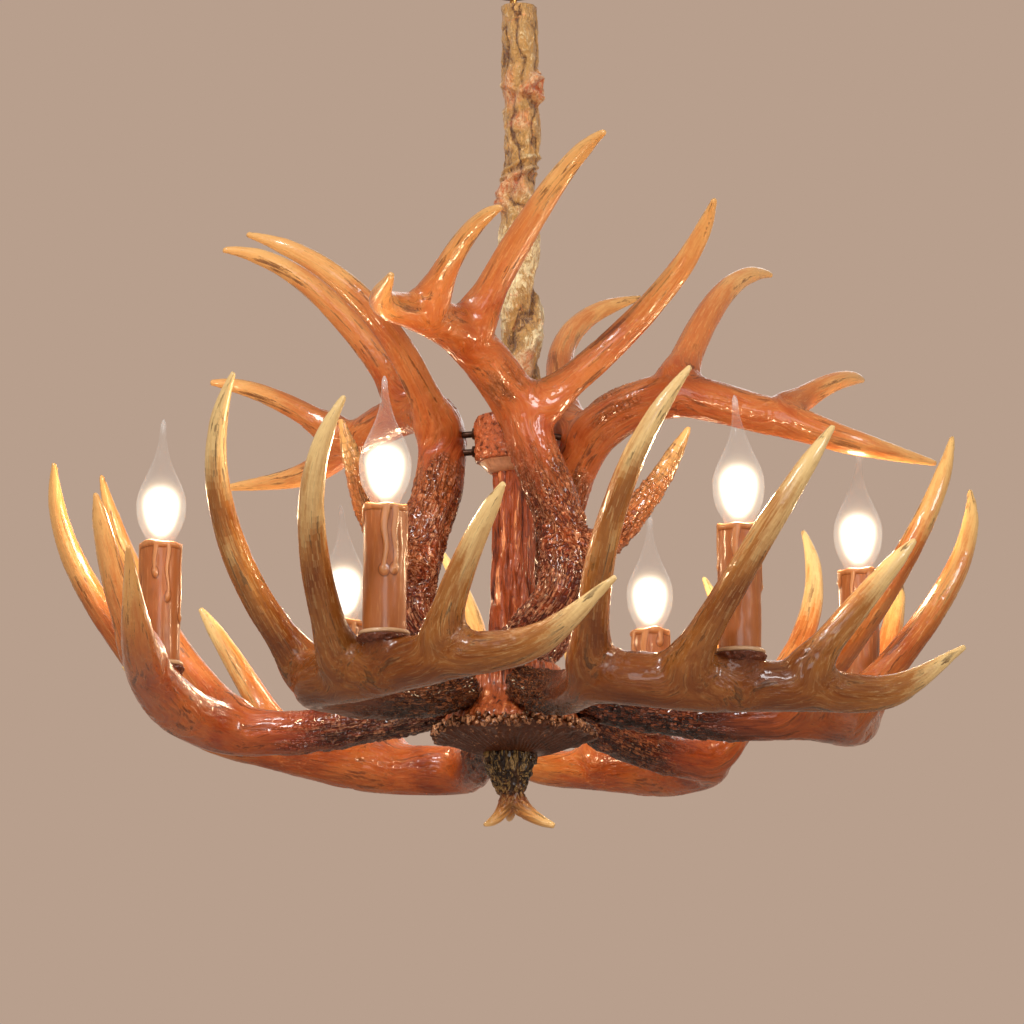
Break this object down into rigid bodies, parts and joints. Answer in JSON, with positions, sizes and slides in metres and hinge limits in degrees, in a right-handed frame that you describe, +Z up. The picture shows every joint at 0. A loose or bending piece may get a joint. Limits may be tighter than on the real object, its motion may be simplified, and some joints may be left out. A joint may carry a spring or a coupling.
{
  "type": "antler chandelier",
  "caption": "Rustic chandelier of cast antlers round a bark column: upright candle lights on the lower antlers, pronged antlers above, hung by a sleeved chain from a ceiling canopy.",
  "frame": {"origin": "middle of the ceiling bracket's upper face, where it meets the ceiling", "axes": "+Z up, out of the ceiling bracket into the ceiling; +X to the right of the pictured view along the bracket's row of slots; +Y away from the viewer"},
  "size_m": [0.6608, 0.6544, 0.6531],
  "materials": {
    "antler_resin": "glossy cast resin, dark bark at the base, cream tips",
    "bark_resin": "glossy cast resin with bark relief",
    "candle_plastic": "waxed, with drips",
    "white_plastic": "moulded",
    "bulb_glass": "clear",
    "filament": "glowing warm white",
    "brass": "satin",
    "zinc_steel": "zinc plated",
    "bronze_paint": "dark bronze, satin",
    "sleeve_fabric": "crumpled satin weave, champagne",
    "flex": "insulated twin flex"
  },
  "bodies": {
    "root": {"mounting_bracket": "zinc_steel", "canopy": "bronze_paint", "canopy_stem": "zinc_steel", "canopy_collar": "bronze_paint", "terminal_block": "white_plastic", "supply_tail": "flex"},
    "swivel": {"ceiling_swivel": "bronze_paint"},
    "fixture": {"chain_links": "bronze_paint", "supply_flex": "flex", "chain_sleeve": "sleeve_fabric", "hanging_loop": "bronze_paint", "tie_rod": "zinc_steel", "rod_nut": "bronze_paint", "top_hub": "bark_resin", "top_hub_disc": "bark_resin", "centre_column": "bark_resin", "bottom_hub": "bark_resin", "rosette_dish": "bark_resin", "finial": "bark_resin", "hub_screws": "zinc_steel", "arm_screws": "zinc_steel", "candle_cups": "brass", "lampholders": "white_plastic", "lower_antler_front_left": "antler_resin", "candle_sleeve_front_left": "candle_plastic", "lower_antler_front_right": "antler_resin", "candle_sleeve_front_right": "candle_plastic", "lower_antler_right": "antler_resin", "candle_sleeve_right": "candle_plastic", "lower_antler_back_right": "antler_resin", "candle_sleeve_back_right": "candle_plastic", "lower_antler_back_left": "antler_resin", "candle_sleeve_back_left": "candle_plastic", "lower_antler_left": "antler_resin", "candle_sleeve_left": "candle_plastic", "upper_antler_front": "antler_resin", "upper_antler_left": "antler_resin", "upper_antler_right": "antler_resin"},
    "bulb_front_left": {"bulb_glass_front_left": "bulb_glass", "bulb_cap_front_left": "brass", "bulb_filament_front_left": "filament"},
    "bulb_front_right": {"bulb_glass_front_right": "bulb_glass", "bulb_cap_front_right": "brass", "bulb_filament_front_right": "filament"},
    "bulb_right": {"bulb_glass_right": "bulb_glass", "bulb_cap_right": "brass", "bulb_filament_right": "filament"},
    "bulb_back_right": {"bulb_glass_back_right": "bulb_glass", "bulb_cap_back_right": "brass", "bulb_filament_back_right": "filament"},
    "bulb_back_left": {"bulb_glass_back_left": "bulb_glass", "bulb_cap_back_left": "brass", "bulb_filament_back_left": "filament"},
    "bulb_left": {"bulb_glass_left": "bulb_glass", "bulb_cap_left": "brass", "bulb_filament_left": "filament"}
  },
  "joints": [
    {"name": "swing_front_back", "type": "hinge", "parent": "root", "child": "swivel", "pos_m": [0, 0, -0.038], "axis": [1, 0, 0], "range_deg": [-8, 8]},
    {"name": "swing_side", "type": "hinge", "parent": "swivel", "child": "fixture", "pos_m": [0, 0, -0.0665], "axis": [0, 1, 0], "range_deg": [-8, 8]},
    {"name": "bulb_out_front_left", "type": "slide", "parent": "fixture", "child": "bulb_front_left", "axis": [0, 0, 1], "range_m": [0, 0.034]},
    {"name": "bulb_out_front_right", "type": "slide", "parent": "fixture", "child": "bulb_front_right", "axis": [0, 0, 1], "range_m": [0, 0.034]},
    {"name": "bulb_out_right", "type": "slide", "parent": "fixture", "child": "bulb_right", "axis": [0, 0, 1], "range_m": [0, 0.034]},
    {"name": "bulb_out_back_right", "type": "slide", "parent": "fixture", "child": "bulb_back_right", "axis": [0, 0, 1], "range_m": [0, 0.034]},
    {"name": "bulb_out_back_left", "type": "slide", "parent": "fixture", "child": "bulb_back_left", "axis": [0, 0, 1], "range_m": [0, 0.034]},
    {"name": "bulb_out_left", "type": "slide", "parent": "fixture", "child": "bulb_left", "axis": [0, 0, 1], "range_m": [0, 0.034]}
  ]
}
